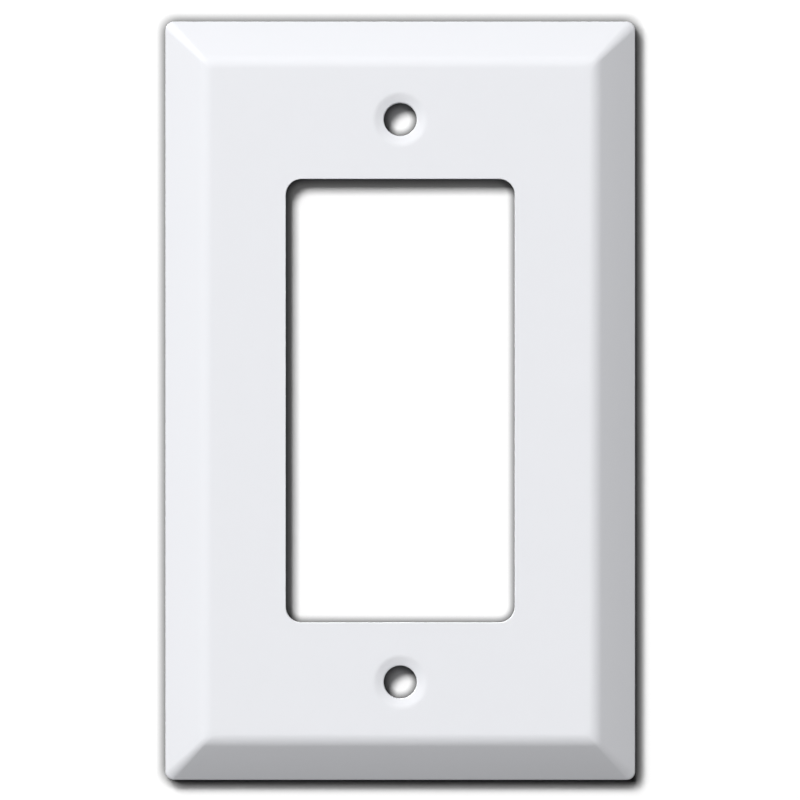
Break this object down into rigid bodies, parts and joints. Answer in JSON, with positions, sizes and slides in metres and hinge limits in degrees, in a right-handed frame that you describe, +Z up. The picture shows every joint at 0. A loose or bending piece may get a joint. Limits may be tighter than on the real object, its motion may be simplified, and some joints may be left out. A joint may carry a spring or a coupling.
{
  "type": "wall plate cover",
  "caption": "Single-gang wall plate cover with mitred bevels, a tall rounded rocker window and dished screw holes above and below it.",
  "frame": {"origin": "on the wall plane, at the middle of the plate and of its window", "axes": "+Z up the wall along the plate's height, +X to the right seen from the front, +Y into the wall, so the face looks along -Y"},
  "size_m": [0.0708, 0.0063, 0.1142],
  "materials": {
    "white_plastic": "smooth gloss white moulding, matt inside"
  },
  "bodies": {
    "root": {"wall_plate": "white_plastic"}
  },
  "joints": []
}
